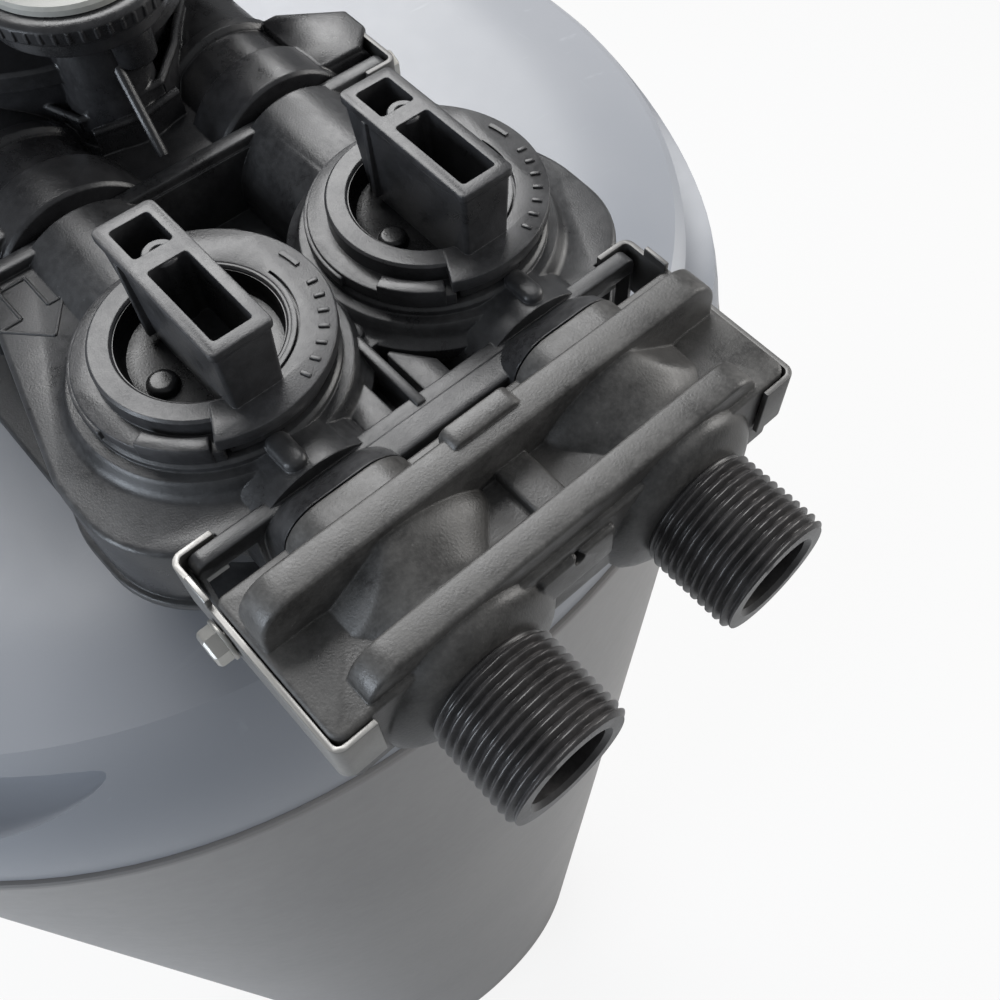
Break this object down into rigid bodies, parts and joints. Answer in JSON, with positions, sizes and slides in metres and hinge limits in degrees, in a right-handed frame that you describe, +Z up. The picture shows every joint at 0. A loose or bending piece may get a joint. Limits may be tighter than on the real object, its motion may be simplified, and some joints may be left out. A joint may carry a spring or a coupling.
{
  "type": "water softener",
  "caption": "Tall cabinet water softener with a valve head, twin threaded ports and a two-knob bypass on its deck, a hinged salt lid and a resin vessel inside.",
  "frame": {"origin": "middle of the cabinet's base, on the floor", "axes": "+Z up; +Y to the rear, where the threaded ports point; +X to the side with the drain stub"},
  "size_m": [0.4482, 0.4986, 1.26],
  "materials": {
    "wall": "satin, fine grain",
    "deck": "satin, fine scuffs",
    "black": "glass-filled, satin",
    "dark": "satin",
    "steel": "bright stamped",
    "window": "clear and dark",
    "vessel": "wound glass fibre",
    "white": "moulded",
    "resin": "packed beads"
  },
  "bodies": {
    "cabinet": {"brine_well": "white", "bypass_body": "black", "clip_front_left": "steel", "clip_front_right": "steel", "clip_rear_left": "steel", "clip_rear_right": "steel", "clip_screw_front_left": "steel", "clip_screw_front_right": "steel", "clip_screw_rear_left": "steel", "clip_screw_rear_right": "steel", "control_housing": "dark", "coupling_front_left": "dark", "coupling_front_right": "dark", "coupling_rear_left": "dark", "coupling_rear_right": "dark", "deck_plate": "black", "display_window": "window", "drain_elbow": "dark", "drum_cap": "dark", "float_rod": "white", "hinge_pin_left": "steel", "hinge_pin_right": "steel", "injector_cap": "dark", "lower_basket": "black", "manifold": "black", "overflow_elbow": "black", "overflow_nut": "black", "power_inlet": "black", "resin_bed": "resin", "resin_vessel": "vessel", "riser_tube": "white", "salt_tub": "wall", "top_cover": "deck", "upper_basket": "black", "valve_body": "black", "vessel_boot": "black", "well_cap": "white"},
    "lid": {"salt_lid": "deck"},
    "knob_left": {"bypass_knob_left": "black", "bypass_rotor_left": "white"},
    "knob_right": {"bypass_knob_right": "black", "bypass_rotor_right": "white"},
    "float": {"brine_float": "white"},
    "key_down": {"button_down": "white"},
    "key_up": {"button_up": "white"},
    "key_set": {"button_set": "white"},
    "key_regenerate": {"button_regenerate": "white"}
  },
  "joints": [
    {"name": "lid_hinge", "type": "hinge", "parent": "cabinet", "child": "lid", "pos_m": [0, -0.0665, 1.118], "axis": [-1, 0, 0], "range_deg": [0, 88]},
    {"name": "knob_left_turn", "type": "hinge", "parent": "cabinet", "child": "knob_left", "pos_m": [0.0323, 0.155, 1.16], "axis": [0, 0, 1], "range_deg": [0, 90]},
    {"name": "knob_right_turn", "type": "hinge", "parent": "cabinet", "child": "knob_right", "pos_m": [-0.0323, 0.155, 1.16], "axis": [0, 0, 1], "range_deg": [-90, 0]},
    {"name": "float_rise", "type": "slide", "parent": "cabinet", "child": "float", "axis": [0, 0, 1], "range_m": [0, 0.06]},
    {"name": "press_down", "type": "slide", "parent": "cabinet", "child": "key_down", "axis": [0, 1, 0], "range_m": [0, 0.0015], "stiffness_N_per_m": 400, "springref_m": -0.001},
    {"name": "press_up", "type": "slide", "parent": "cabinet", "child": "key_up", "axis": [0, 1, 0], "range_m": [0, 0.0015], "stiffness_N_per_m": 400, "springref_m": -0.001},
    {"name": "press_set", "type": "slide", "parent": "cabinet", "child": "key_set", "axis": [0, 1, 0], "range_m": [0, 0.0015], "stiffness_N_per_m": 400, "springref_m": -0.001},
    {"name": "press_regenerate", "type": "slide", "parent": "cabinet", "child": "key_regenerate", "axis": [0, 1, 0], "range_m": [0, 0.0015], "stiffness_N_per_m": 400, "springref_m": -0.001}
  ]
}
